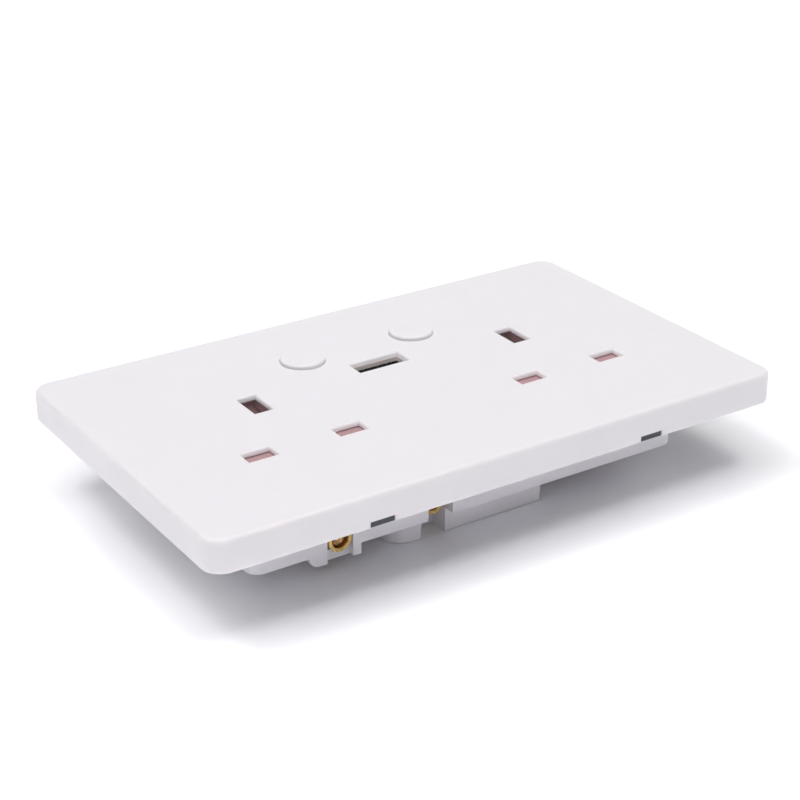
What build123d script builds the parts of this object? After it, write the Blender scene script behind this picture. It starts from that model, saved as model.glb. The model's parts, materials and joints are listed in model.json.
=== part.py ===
"""Double three-pin wall socket with one USB port and two push buttons.

Millimetres. The socket lies on its back, face up: +X runs along the plate,
+Y is upwards once it is on a wall, and +Z points out of the face. The origin
is under the plate's middle, on the rear cover's back, the lowest face.
"""

import os

from build123d import *

# Cover plate
PLATE_LENGTH = 146.0
PLATE_HEIGHT = 88.0
PLATE_DEPTH = 7.25
PLATE_CORNER_R = 4.5
PLATE_EDGE_R = 1.3
SKIRT_WALL = 2.2
SKIN = 2.0
THIN_SKIN = 1.2
NOTCH_X = (-33.9, 36.3)
NOTCH_WIDTH = 6.0
NOTCH_HEIGHT = 1.3
HOOK_X = (-52.0, -18.0, 18.0, 52.0)
HOOK_WIDTH = 8.0
HOOK_REACH = 1.4
HOOK_THICKNESS = 1.0

# Pin slots, the same on both outlets
SOCKET_HALF_PITCH = 35.07
PIN_PITCH = 22.225
LIVE_ROW_Y = -15.39
LIVE_SLOT = (7.0, 4.6)
EARTH_SLOT = (4.6, 8.4)
PIN_CLEARANCE = 0.4
EARTH_PIN_LENGTH = 22.7

# Push buttons
BUTTON_HALF_PITCH = 15.0
BUTTON_MIDDLE_X = 0.6
BUTTON_Y = 21.4
BUTTON_R = 5.3
BUTTON_PROUD = 1.2
BUTTON_CHAMFER = 0.4
BUTTON_RING_GAP = 0.16
BUTTON_FLANGE_R = 6.2
BUTTON_FLANGE_T = 1.0
BUTTON_STEM_R = 1.9
BUTTON_TRAVEL = 0.6

# USB port
USB_Y = 10.91
USB_APERTURE = (13.3, 5.14)
USB_SHELL = (13.14, 5.72)
USB_SHELL_WALL = 0.3
USB_HEIGHT = 13.75
USB_TONGUE = (11.1, 1.84)
USB_TONGUE_OFFSET = -0.75
USB_TONGUE_SINK = 1.1
USB_TONGUE_CHAMFER = 0.3
USB_INSULATOR_T = 3.6
USB_CONTACT_COUNT = 4
USB_CONTACT_PITCH = 2.3
USB_CONTACT = (1.1, 0.25)

# Depth of the socket behind the wall's surface
REAR_DEPTH = 20.0
REAR_FLANGE_T = 2.9
REAR_RIM_Z = 6.1
REAR_X = 1.3
BODY_END_WALL = 5.95
BODY_HEIGHT = 54.0
BODY_CORNER_R = 3.0
BOX_X = 1.5
BOX_LENGTH = 40.6
BOX_HEIGHT = 48.0
BOX_LEFT_CORNER_R = 5.0
BOX_RIGHT_CORNER_R = 1.2
BOX_CHAMFER = 0.4
BOX_WALL = 1.8

# Steel mounting frame and the base's flange on it
FIXING_PITCH = 120.6
FIXING_HOLE_R = 2.0
FRAME_LIFT = 1.2
FRAME_T = 1.2
FRAME_EDGE_GAP = 0.5
FRAME_CORNER_R = 2.0
BASE_FLANGE_OVERLAP = 7.0
BASE_FLANGE_T = 1.8
LUG_REACH = 4.4
LUG_WIDTH = 10.0

# Shutters and their springs
SHUTTER_T = 2.1
SHUTTER_COVER = 0.6
SHUTTER_OPEN_MARGIN = 0.7
SHUTTER_RAIL = 1.3
RAMP_SETBACK = 1.5
RAMP_START = 1.6
RAMP_DROP = 7.2
RAMP_T = 1.3
SPRING_LENGTH = 10.4
SPRING_R = 0.8
SPRING_WIRE = 0.34
SPRING_TURNS = 4
DECK_T = 2.0

# Contacts, straps and terminals
STRIP_T = 0.8
STRIP_WIDTH = 2.4
CLIP_T = 0.6
CLIP_LENGTH = 6.0
CLIP_MOUTH = 2.6
CLIP_THROAT = 2.0
CLIP_FOOT = 2.4
CLIP_TOP_GAP = 0.4
CLIP_THROAT_SHARE = 0.25
LIVE_POCKET = (9.2, 7.6)
EARTH_POCKET = (7.6, 9.6)
EARTH_BOSS_WALL = 1.4
LINE_TERMINAL_X = -34.0
NEUTRAL_TERMINAL_X = -8.3
EARTH_TERMINAL_X = -27.6
TERMINAL_BLOCK = (6.0, 4.4, 5.5)
TERMINAL_TUBE_R = 2.85
TERMINAL_BORE_R = 2.05
TERMINAL_AXIS_Z = 8.4
TERMINAL_BACK_Y = 14.4
TERMINAL_END_WALL = 0.8
TERMINAL_RIM_SINK = 0.1
TERMINAL_GAP_WIDTH = 6.4
TERMINAL_RECESS_DEPTH = 5.0
CLAMP_TIP = 1.0
CLAMP_SETBACK = 5.0
CLAMP_DEEP_SETBACK = 7.6
CLAMP_SEAT_Z = 5.4
LIVE_STRIP_Y = -21.8
TOWER_FRONT_Y = 24.95
TOWER_BOTTOM_Z = 3.1
TOWER_RIB_Z = 3.55
TOWER_RIB_WIDTH = 2.0
TOWER_FLANK = 4.5
TOWER_WALL = 0.6

# Circuit board and what it carries
BOARD_T = 1.6
BOARD_WIDTH = 35.0
BOARD_BOTTOM_Y = -11.0
BOARD_TOP_Y = 24.9
WELL_GAP = 0.6
POST_R = 2.0
BOARD_SCREW_HALF_PITCH = 13.5
REST_POST_XY = (3.6, -8.0)
SWITCH_SIZE = 4.6
SWITCH_CHAMFER = 0.4
SWITCH_HEIGHT = 4.4
SWITCH_PLUNGER_R = 1.7
SWITCH_PLUNGER_DEPTH = 1.2
SWITCH_PLUNGER_HEIGHT = 4.4
RELAY = (15.2, 10.0, 12.2)
RELAY_HALF_PITCH = 8.6
RELAY_Y = -4.5
RELAY_CHAMFER = 0.6
TRANSFORMER = (13.0, 10.5, 6.6)
TRANSFORMER_CORE = (15.0, 5.0, 4.6)
TRANSFORMER_XY = (-6.6, -2.6)
CAPACITOR_R = 2.6
CAPACITOR_LENGTH = 10.0
CAPACITOR_CHAMFER = 0.4
CAPACITOR_XY = (9.5, -3.0)
MODULE = (18.0, 11.0, 0.9)
MODULE_CAN = (11.0, 9.2, 2.3)
MODULE_XY = (0.0, 16.2)

# Small fasteners
SCREW_R = 1.25
SCREW_HEAD_R = 2.3
SCREW_HEAD_T = 1.4
SCREW_SLOT = 0.7
SCREW_SLOT_LENGTH = 3.4
SCREW_GRIP = 5.0
FRAME_SCREW_OUTSET = 3.5
FRAME_SCREW_INSET = 3.0
COVER_SCREW_INSET = 4.2

# Clearances
FIT = 0.15
SLIDE = 0.2
LOOSE = 0.3

# Levels and places that follow from the sizes above
WALL_Z = REAR_DEPTH
FACE_Z = WALL_Z + PLATE_DEPTH
SKIN_Z = FACE_Z - SKIN
BASE_TOP_Z = SKIN_Z - FIT
SHUTTER_TOP_Z = FACE_Z - THIN_SKIN - SLIDE
SHUTTER_Z = SHUTTER_TOP_Z - SHUTTER_T
DECK_TOP_Z = SHUTTER_Z - SLIDE
DECK_Z = DECK_TOP_Z - DECK_T
FRAME_Z = WALL_Z + FRAME_LIFT
BASE_FLANGE_Z = FRAME_Z + FRAME_T
REAR_TOP_Z = REAR_RIM_Z + REAR_FLANGE_T
BOARD_Z = REAR_TOP_Z + STRIP_T
BOARD_TOP_Z = BOARD_Z + BOARD_T
USB_TOP_Z = BOARD_TOP_Z + USB_HEIGHT
SOCKETS = {"left": -SOCKET_HALF_PITCH, "right": SOCKET_HALF_PITCH}
BUTTONS = {"left": BUTTON_MIDDLE_X - BUTTON_HALF_PITCH, "right": BUTTON_MIDDLE_X + BUTTON_HALF_PITCH}
EARTH_Y = LIVE_ROW_Y + PIN_PITCH
LIVE_DX = PIN_PITCH / 2
SHUTTER_TRAVEL = LIVE_SLOT[1] + SHUTTER_COVER + SHUTTER_OPEN_MARGIN
BAR_LENGTH = PIN_PITCH + LIVE_SLOT[0] + 2 * SHUTTER_COVER
BAR_WIDTH = LIVE_SLOT[1] + 2 * SHUTTER_COVER
BAR_TOP_Y = LIVE_ROW_Y + BAR_WIDTH / 2
RAIL_INNER = EARTH_SLOT[0] / 2 + LOOSE
RAIL_OUTER = RAIL_INNER + SHUTTER_RAIL
RAMP_TOP_Y = EARTH_Y + EARTH_SLOT[1] / 2 + RAMP_SETBACK
SHUTTER_END_Y = RAMP_TOP_Y + RAMP_T
SPRING_SEAT_Y = SHUTTER_END_Y + SPRING_LENGTH + 2 * FIT
WELL_HALF_X = BOARD_WIDTH / 2 + WELL_GAP
BODY_LENGTH = 2 * (SOCKET_HALF_PITCH + LIVE_DX + LIVE_POCKET[0] / 2 + BODY_END_WALL)
HALF_BODY_X = BODY_LENGTH / 2
HALF_BODY_Y = BODY_HEIGHT / 2
HALF_BOX_Y = BOX_HEIGHT / 2
FRAME_SCREW_XY = (HALF_BODY_X + FRAME_SCREW_OUTSET, HALF_BODY_Y - FRAME_SCREW_INSET)
COVER_SCREW_XY = (HALF_BODY_X - COVER_SCREW_INSET, HALF_BODY_Y - COVER_SCREW_INSET)
RIM_FRONT_Y = HALF_BODY_Y - TERMINAL_RIM_SINK
LINE_STRIP_Y = LIVE_ROW_Y + LIVE_POCKET[1] / 2 + STRIP_WIDTH + LOOSE
RELAY_STRIP_Y = LINE_STRIP_Y + 2 * STRIP_WIDTH
STRIP_END_X = BOARD_WIDTH / 2 - STRIP_WIDTH
# Each terminal: middle along X, side of the body that it faces, its mouth and its clamp screw's place along Y
TERMINALS = {
    "line": (LINE_TERMINAL_X, -1, RIM_FRONT_Y, RIM_FRONT_Y - CLAMP_SETBACK),
    "neutral": (NEUTRAL_TERMINAL_X, -1, HALF_BOX_Y, HALF_BOX_Y - CLAMP_DEEP_SETBACK),
    "earth": (EARTH_TERMINAL_X, 1, RIM_FRONT_Y, RIM_FRONT_Y - CLAMP_SETBACK),
}


def save(block, name):
    """Label a finished piece and write it."""
    block.part.label = name
    export_step(block.part, f"parts/{name}.step")


def span(x0, x1, y0, y1):
    """Rectangle between two corners, in the sketch that is open."""
    with Locations(((x0 + x1) / 2, (y0 + y1) / 2)):
        Rectangle(abs(x1 - x0), abs(y1 - y0))


def four(xy):
    """One point in each quarter of the rear body."""
    x, y = xy
    return [(REAR_X + sx * x, sy * y) for sx in (-1, 1) for sy in (-1, 1)]


def body_plan(grow, mode=Mode.ADD):
    """Plan of the rear body, in the sketch that is open."""
    with Locations((REAR_X, 0)):
        RectangleRounded(BODY_LENGTH + 2 * grow, BODY_HEIGHT + 2 * grow, BODY_CORNER_R, mode=mode)


def lugs(shrink, mode):
    """Bays at the ends of the body where the frame reaches in to the fixing screws."""
    with Locations((-FIXING_PITCH / 2, 0), (FIXING_PITCH / 2, 0)):
        Rectangle(2 * (LUG_REACH - shrink), LUG_WIDTH - 2 * shrink, mode=mode)


def live_slots(grow):
    """Line and neutral slots of both outlets, in the sketch that is open."""
    for x in SOCKETS.values():
        with Locations((x - LIVE_DX, LIVE_ROW_Y), (x + LIVE_DX, LIVE_ROW_Y)):
            Rectangle(LIVE_SLOT[0] + grow, LIVE_SLOT[1] + grow)


def shutter_bays(grow):
    """Room that each shutter sweeps, with its spring, in the sketch that is open."""
    half = BAR_LENGTH / 2 + grow
    low = BAR_TOP_Y - BAR_WIDTH - grow
    for x in SOCKETS.values():
        span(x - half, x + half, low, BAR_TOP_Y + SHUTTER_TRAVEL + grow)
        span(x - RAIL_OUTER - grow, x + RAIL_OUTER + grow, BAR_TOP_Y, SPRING_SEAT_Y)


def strip_runs(grow):
    """Flat straps between clips, terminals and board, by node, as rectangles."""
    left, right = SOCKETS["left"], SOCKETS["right"]
    half = STRIP_WIDTH / 2
    clip_y = LIVE_ROW_Y + CLIP_FOOT
    neutral_left = NEUTRAL_TERMINAL_X - TERMINAL_BLOCK[0] / 2
    neutral_right = NEUTRAL_TERMINAL_X + TERMINAL_BLOCK[0] / 2
    runs = {
        "neutral_strap_left": [
            (left + LIVE_DX - half, neutral_left, LIVE_STRIP_Y - half, LIVE_STRIP_Y + half),
            (left + LIVE_DX - half, left + LIVE_DX + half, LIVE_STRIP_Y, LIVE_ROW_Y - CLIP_FOOT),
            (neutral_left - STRIP_WIDTH, neutral_left, LIVE_STRIP_Y - half, -TERMINAL_BACK_Y),
        ],
        "neutral_strap_right": [
            (neutral_right, right + LIVE_DX + half, LIVE_STRIP_Y - half, LIVE_STRIP_Y + half),
            (right + LIVE_DX - half, right + LIVE_DX + half, LIVE_STRIP_Y, LIVE_ROW_Y - CLIP_FOOT),
            (neutral_right, neutral_right + STRIP_WIDTH, LIVE_STRIP_Y - half, -TERMINAL_BACK_Y),
        ],
        "line_strap": [
            (LINE_TERMINAL_X - half, LINE_TERMINAL_X + half, -TERMINAL_BACK_Y, LINE_STRIP_Y + half),
            (LINE_TERMINAL_X, -STRIP_END_X, LINE_STRIP_Y - half, LINE_STRIP_Y + half),
        ],
        "line_contact_left": [
            (left - LIVE_DX - half, left - LIVE_DX + half, clip_y, RELAY_STRIP_Y + half),
            (left - LIVE_DX, -STRIP_END_X, RELAY_STRIP_Y - half, RELAY_STRIP_Y + half),
        ],
        "line_contact_right": [
            (right - LIVE_DX - half, right - LIVE_DX + half, clip_y, RELAY_STRIP_Y + half),
            (STRIP_END_X, right - LIVE_DX, RELAY_STRIP_Y - half, RELAY_STRIP_Y + half),
        ],
        "earth_strap": [
            (left + CLIP_FOOT, right - CLIP_FOOT, EARTH_Y - half, EARTH_Y + half),
            (EARTH_TERMINAL_X - half, EARTH_TERMINAL_X + half, EARTH_Y, TERMINAL_BACK_Y),
        ],
    }
    return {
        node: [(x0 - grow, x1 + grow, y0 - grow, y1 + grow) for x0, x1, y0, y1 in spans]
        for node, spans in runs.items()
    }


def terminal_bays():
    """Room of each terminal, out to the side of the body, in the sketch that is open."""
    half = TERMINAL_GAP_WIDTH / 2
    for x, side, *rest in TERMINALS.values():
        span(x - half, x + half, side * (TERMINAL_BACK_Y - FIT), side * (HALF_BODY_Y + LOOSE))


os.makedirs("parts", exist_ok=True)

# Cover plate: a shallow tray, thinner over the shutters, with snap hooks inside
with BuildPart() as cover_plate:
    with BuildSketch(Plane.XY.offset(WALL_Z)):
        RectangleRounded(PLATE_LENGTH, PLATE_HEIGHT, PLATE_CORNER_R)
    extrude(amount=PLATE_DEPTH)
    fillet(cover_plate.faces().sort_by(Axis.Z)[-1].edges(), PLATE_EDGE_R)
    inner_length = PLATE_LENGTH - 2 * SKIRT_WALL
    inner_height = PLATE_HEIGHT - 2 * SKIRT_WALL
    with BuildSketch(Plane.XY.offset(WALL_Z)):
        RectangleRounded(inner_length, inner_height, PLATE_CORNER_R - SKIRT_WALL)
    extrude(amount=PLATE_DEPTH - SKIN, mode=Mode.SUBTRACT)
    with BuildSketch(Plane.XY.offset(SKIN_Z)):
        shutter_bays(LOOSE)
    extrude(amount=SKIN - THIN_SKIN, mode=Mode.SUBTRACT)
    with BuildSketch(Plane.XY.offset(SKIN_Z)):
        live_slots(0)
        with Locations(*[(x, EARTH_Y) for x in SOCKETS.values()]):
            Rectangle(*EARTH_SLOT)
        with Locations((0, USB_Y)):
            Rectangle(*USB_APERTURE)
        with Locations(*[(x, BUTTON_Y) for x in BUTTONS.values()]):
            Circle(BUTTON_R + BUTTON_RING_GAP)
    extrude(amount=SKIN, mode=Mode.SUBTRACT)
    with BuildSketch(Plane.XY.offset(WALL_Z)):
        with Locations(*[(x, -PLATE_HEIGHT / 2) for x in NOTCH_X]):
            Rectangle(NOTCH_WIDTH, 2 * (SKIRT_WALL + LOOSE))
    extrude(amount=NOTCH_HEIGHT, mode=Mode.SUBTRACT)
    with BuildSketch(Plane.XY.offset(WALL_Z)):
        for side in (-1, 1):
            with Locations(*[(x, side * (inner_height - HOOK_REACH) / 2) for x in HOOK_X]):
                Rectangle(HOOK_WIDTH, HOOK_REACH)
    extrude(amount=HOOK_THICKNESS)
save(cover_plate, "cover_plate")

# Push buttons: a rounded cap, a flange that stops it under the skin, and a stem
stem_z = BOARD_TOP_Z + SWITCH_HEIGHT + SWITCH_PLUNGER_HEIGHT
flange_z = SKIN_Z - FIT - BUTTON_FLANGE_T
for side, x in BUTTONS.items():
    middle = Plane((x, BUTTON_Y, 0))
    with BuildPart() as button:
        with BuildSketch(middle.offset(flange_z)):
            Circle(BUTTON_FLANGE_R)
        extrude(amount=BUTTON_FLANGE_T)
        with BuildSketch(middle.offset(flange_z)):
            Circle(BUTTON_R)
        extrude(amount=FACE_Z + BUTTON_PROUD - flange_z)
        chamfer(button.faces().sort_by(Axis.Z)[-1].edges(), BUTTON_CHAMFER)
        with BuildSketch(middle.offset(stem_z)):
            Circle(BUTTON_STEM_R)
        extrude(amount=flange_z - stem_z)
    save(button, f"button_{side}")

# Steel frame that the fixing screws hold to the wall box
with BuildPart() as mounting_frame:
    with BuildSketch(Plane.XY.offset(FRAME_Z)):
        frame_size = (inner_length - 2 * FRAME_EDGE_GAP, inner_height - 2 * FRAME_EDGE_GAP)
        RectangleRounded(*frame_size, FRAME_CORNER_R)
        body_plan(LOOSE, Mode.SUBTRACT)
        lugs(LOOSE, Mode.ADD)
        with Locations((-FIXING_PITCH / 2, 0), (FIXING_PITCH / 2, 0)):
            Circle(FIXING_HOLE_R, mode=Mode.SUBTRACT)
        with Locations(*four(FRAME_SCREW_XY)):
            Circle(SCREW_R + FIT, mode=Mode.SUBTRACT)
    extrude(amount=FRAME_T)
save(mounting_frame, "mounting_frame")

# Base: block with pockets for the contacts, decks for the shutters and a flange on the frame
with BuildPart() as base_housing:
    with BuildSketch(Plane.XY.offset(REAR_TOP_Z)):
        body_plan(0)
        lugs(0, Mode.SUBTRACT)
    extrude(amount=BASE_TOP_Z - REAR_TOP_Z)
    with BuildSketch(Plane.XY.offset(BASE_FLANGE_Z)):
        body_plan(BASE_FLANGE_OVERLAP)
        lugs(0, Mode.SUBTRACT)
    extrude(amount=BASE_FLANGE_T)
    with BuildSketch(Plane.XY.offset(DECK_TOP_Z)):
        shutter_bays(LOOSE)
    extrude(amount=BASE_TOP_Z - DECK_TOP_Z, mode=Mode.SUBTRACT)
    with BuildSketch(Plane.XY.offset(DECK_Z)):
        live_slots(PIN_CLEARANCE)
    extrude(amount=DECK_T, mode=Mode.SUBTRACT)
    ramp_room_z = SHUTTER_TOP_Z - RAMP_DROP - RAMP_T - LOOSE
    ramp_room_x = RAIL_OUTER + LOOSE
    ramp_room_y = (EARTH_Y - EARTH_SLOT[1] / 2 - PIN_CLEARANCE, SHUTTER_END_Y + SHUTTER_TRAVEL + LOOSE)
    with BuildSketch(Plane.XY.offset(ramp_room_z)):
        for x in SOCKETS.values():
            span(x - ramp_room_x, x + ramp_room_x, *ramp_room_y)
    extrude(amount=DECK_TOP_Z - ramp_room_z, mode=Mode.SUBTRACT)
    with BuildSketch(Plane.XY.offset(REAR_TOP_Z)):
        for x in SOCKETS.values():
            with Locations((x - LIVE_DX, LIVE_ROW_Y), (x + LIVE_DX, LIVE_ROW_Y)):
                Rectangle(*LIVE_POCKET)
            with Locations((x, EARTH_Y)):
                Rectangle(*EARTH_POCKET)
    extrude(amount=DECK_Z - REAR_TOP_Z, mode=Mode.SUBTRACT)
    with BuildSketch(Plane.XY.offset(REAR_TOP_Z)):
        span(-WELL_HALF_X, WELL_HALF_X, BOARD_BOTTOM_Y - WELL_GAP, BOARD_TOP_Y + WELL_GAP)
    extrude(amount=BASE_TOP_Z - REAR_TOP_Z, mode=Mode.SUBTRACT)
    button_room_z = flange_z - BUTTON_TRAVEL - LOOSE
    with BuildSketch(Plane.XY.offset(button_room_z)):
        with Locations(*[(x, BUTTON_Y) for x in BUTTONS.values()]):
            Circle(BUTTON_FLANGE_R + LOOSE)
    extrude(amount=BASE_TOP_Z - button_room_z, mode=Mode.SUBTRACT)
    with BuildSketch(Plane.XY.offset(REAR_TOP_Z)):
        for spans in strip_runs(LOOSE).values():
            for corners in spans:
                span(*corners)
    extrude(amount=STRIP_T + LOOSE, mode=Mode.SUBTRACT)
    with BuildSketch(Plane.XY.offset(REAR_TOP_Z)):
        terminal_bays()
    extrude(amount=TERMINAL_AXIS_Z + TERMINAL_TUBE_R + FIT - REAR_TOP_Z, mode=Mode.SUBTRACT)
    with BuildSketch(Plane.XY.offset(REAR_TOP_Z)):
        with Locations(*four(COVER_SCREW_XY)):
            Circle(SCREW_R + FIT)
    extrude(amount=SCREW_GRIP + LOOSE, mode=Mode.SUBTRACT)
    with BuildSketch(Plane.XY.offset(BASE_FLANGE_Z)):
        with Locations(*four(FRAME_SCREW_XY)):
            Circle(SCREW_R + FIT)
    extrude(amount=BASE_FLANGE_T, mode=Mode.SUBTRACT)
save(base_housing, "base_housing")

# Rear cover: a plate under the base with the deep electronics box and the terminal tower
with BuildPart() as rear_cover:
    with BuildSketch(Plane.XY) as box_plan:
        with Locations((BOX_X, 0)):
            Rectangle(BOX_LENGTH, BOX_HEIGHT)
        fillet(box_plan.vertices().group_by(Axis.X)[0], BOX_LEFT_CORNER_R)
        fillet(box_plan.vertices().group_by(Axis.X)[-1], BOX_RIGHT_CORNER_R)
    extrude(amount=REAR_RIM_Z)
    chamfer(rear_cover.faces().sort_by(Axis.Z)[0].edges(), BOX_CHAMFER)
    with BuildSketch(Plane.XY.offset(REAR_RIM_Z)):
        body_plan(0)
        lugs(0, Mode.SUBTRACT)
    extrude(amount=REAR_FLANGE_T)
    # Wells under the earth contacts
    boss_z = FACE_Z - EARTH_PIN_LENGTH - 2 * LOOSE - CLIP_T - EARTH_BOSS_WALL
    with BuildSketch(Plane.XY.offset(boss_z)):
        with Locations(*[(x, EARTH_Y) for x in SOCKETS.values()]):
            grow = 2 * EARTH_BOSS_WALL
            RectangleRounded(EARTH_POCKET[0] + grow, EARTH_POCKET[1] + grow, EARTH_BOSS_WALL)
    extrude(amount=REAR_RIM_Z - boss_z)
    # Towers under the line and earth terminals
    gap_half = TERMINAL_GAP_WIDTH / 2
    tower_half = gap_half + TOWER_WALL
    tower_left = LINE_TERMINAL_X - gap_half
    tower_right = LINE_TERMINAL_X + gap_half
    tower_back_y = TERMINAL_BACK_Y - FIT - TOWER_WALL
    with BuildSketch(Plane.XY.offset(TOWER_BOTTOM_Z)):
        for x, side in ((LINE_TERMINAL_X, -1), (EARTH_TERMINAL_X, 1)):
            span(x - tower_half, x + tower_half, side * TOWER_FRONT_Y, side * tower_back_y)
    extrude(amount=REAR_RIM_Z - TOWER_BOTTOM_Z)
    with BuildSketch(Plane.XY.offset(TOWER_RIB_Z)):
        span(tower_right, tower_right + TOWER_RIB_WIDTH, -HALF_BODY_Y, -tower_back_y)
    extrude(amount=REAR_RIM_Z - TOWER_RIB_Z)
    with BuildSketch(Plane.XZ.offset(tower_back_y)):
        with BuildLine():
            flank_foot = (tower_left - TOWER_FLANK + REAR_RIM_Z - TOWER_RIB_Z, TOWER_RIB_Z)
            Line((tower_left - TOWER_FLANK, REAR_RIM_Z), (tower_left, REAR_RIM_Z))
            Line((tower_left, REAR_RIM_Z), (tower_left, TOWER_RIB_Z))
            Line((tower_left, TOWER_RIB_Z), flank_foot)
            RadiusArc(flank_foot, (tower_left - TOWER_FLANK, REAR_RIM_Z), REAR_RIM_Z - TOWER_RIB_Z)
        make_face()
    extrude(amount=HALF_BODY_Y - tower_back_y)
    # Hollow of the box, kept clear of the neutral terminal's recess
    recess_left = NEUTRAL_TERMINAL_X - gap_half
    recess_right = NEUTRAL_TERMINAL_X + gap_half
    recess_y = HALF_BOX_Y - TERMINAL_RECESS_DEPTH
    hollow_left = BOX_X - BOX_LENGTH / 2 + BOX_WALL
    hollow_right = BOX_X + BOX_LENGTH / 2 - BOX_WALL
    hollow_y = HALF_BOX_Y - BOX_WALL
    with BuildSketch(Plane.XY.offset(BOX_WALL)):
        span(hollow_left, hollow_right, BOX_WALL - TERMINAL_BACK_Y, hollow_y)
        span(hollow_left, recess_left - BOX_WALL, -hollow_y, 0)
        span(recess_right + BOX_WALL, hollow_right, -hollow_y, 0)
    extrude(amount=REAR_TOP_Z - BOX_WALL, mode=Mode.SUBTRACT)
    with BuildSketch(Plane.XY):
        span(recess_left, recess_right, -HALF_BODY_Y, -recess_y)
    extrude(amount=REAR_TOP_Z, mode=Mode.SUBTRACT)
    # Seats of the terminals and the holes that reach their clamp screws
    tube_z = TERMINAL_AXIS_Z - TERMINAL_TUBE_R
    with BuildSketch(Plane.XY.offset(tube_z)):
        terminal_bays()
    extrude(amount=REAR_TOP_Z - tube_z, mode=Mode.SUBTRACT)
    with BuildSketch(Plane.XY):
        with Locations(*[(x, side * clamp_y) for x, side, mouth_y, clamp_y in TERMINALS.values()]):
            Circle(SCREW_HEAD_R + FIT)
    extrude(amount=tube_z, mode=Mode.SUBTRACT)
    # Wells of the earth contacts
    with BuildSketch(Plane.XY.offset(boss_z + EARTH_BOSS_WALL)):
        with Locations(*[(x, EARTH_Y) for x in SOCKETS.values()]):
            Rectangle(*EARTH_POCKET)
    extrude(amount=REAR_TOP_Z - boss_z - EARTH_BOSS_WALL, mode=Mode.SUBTRACT)
    # Posts under the circuit board
    board_screws_xy = [(-BOARD_SCREW_HALF_PITCH, USB_Y), (BOARD_SCREW_HALF_PITCH, USB_Y)]
    with BuildSketch(Plane.XY.offset(BOX_WALL)):
        with Locations(*board_screws_xy, REST_POST_XY):
            Circle(POST_R)
    extrude(amount=BOARD_Z - BOX_WALL)
    with BuildSketch(Plane.XY.offset(BOARD_Z - SCREW_GRIP)):
        with Locations(*board_screws_xy):
            Circle(SCREW_R + FIT)
    extrude(amount=SCREW_GRIP, mode=Mode.SUBTRACT)
    # Counterbored holes of the cover screws
    with BuildSketch(Plane.XY.offset(REAR_RIM_Z)):
        with Locations(*four(COVER_SCREW_XY)):
            Circle(SCREW_R + FIT)
    extrude(amount=REAR_FLANGE_T, mode=Mode.SUBTRACT)
    with BuildSketch(Plane.XY.offset(REAR_RIM_Z)):
        with Locations(*four(COVER_SCREW_XY)):
            Circle(SCREW_HEAD_R + FIT)
    extrude(amount=SCREW_HEAD_T, mode=Mode.SUBTRACT)
save(rear_cover, "rear_cover")

# Shutters: a bar across the line and neutral slots, two rails and the earth pin's ramp
ramp_foot_y = EARTH_Y + EARTH_SLOT[1] / 2 + FIT - SHUTTER_TRAVEL
for side, x in SOCKETS.items():
    with BuildPart() as shutter:
        with BuildSketch(Plane.XY.offset(SHUTTER_Z)):
            with Locations((x, LIVE_ROW_Y)):
                Rectangle(BAR_LENGTH, BAR_WIDTH)
            span(x - RAIL_OUTER, x - RAIL_INNER, BAR_TOP_Y, SHUTTER_END_Y)
            span(x + RAIL_INNER, x + RAIL_OUTER, BAR_TOP_Y, SHUTTER_END_Y)
        extrude(amount=SHUTTER_T)
        with BuildSketch(Plane.YZ.offset(x - RAIL_OUTER)):
            with BuildLine():
                foot_z = SHUTTER_TOP_Z - RAMP_DROP
                Polyline(
                    (RAMP_TOP_Y, SHUTTER_TOP_Z - RAMP_START),
                    (ramp_foot_y, foot_z),
                    (ramp_foot_y, foot_z - RAMP_T),
                    (ramp_foot_y + RAMP_T, foot_z - RAMP_T),
                    (SHUTTER_END_Y, SHUTTER_Z),
                    (SHUTTER_END_Y, SHUTTER_TOP_Z),
                    (RAMP_TOP_Y, SHUTTER_TOP_Z),
                    close=True,
                )
            make_face()
        extrude(amount=2 * RAIL_OUTER)
    save(shutter, f"shutter_{side}")

    # Coil spring between the shutter's end and the end of its bay
    spring_z = (SHUTTER_TOP_Z + SHUTTER_Z) / 2
    coil_length = SPRING_LENGTH - SPRING_WIRE
    coil_start = SHUTTER_END_Y + FIT + SPRING_WIRE / 2
    with BuildPart() as shutter_spring:
        with BuildLine() as coil:
            Helix(
                pitch=coil_length / SPRING_TURNS,
                height=coil_length,
                radius=SPRING_R,
                center=(x, coil_start, spring_z),
                direction=(0, 1, 0),
            )
        with BuildSketch(Plane(coil.line @ 0, z_dir=coil.line % 0)):
            Rectangle(SPRING_WIRE, SPRING_WIRE)
        sweep()
    save(shutter_spring, f"shutter_spring_{side}")

# Brass clips that grip the pins, with the flat straps that join them
clip_top_z = DECK_Z - CLIP_TOP_GAP
earth_clip_z = boss_z + EARTH_BOSS_WALL
earth_clip_top_z = ramp_room_z - CLIP_TOP_GAP


def clip_outline(middle, foot_z, top_z):
    """Folded strip with a flared mouth, in the sketch that is open."""
    throat_z = top_z - (top_z - foot_z) * CLIP_THROAT_SHARE
    with BuildLine() as fold:
        Polyline(
            (middle - CLIP_MOUTH, top_z),
            (middle - CLIP_THROAT, throat_z),
            (middle - CLIP_FOOT, foot_z + CLIP_T / 2),
            (middle + CLIP_FOOT, foot_z + CLIP_T / 2),
            (middle + CLIP_THROAT, throat_z),
            (middle + CLIP_MOUTH, top_z),
        )
    trace(fold.edges(), line_width=CLIP_T)


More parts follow.
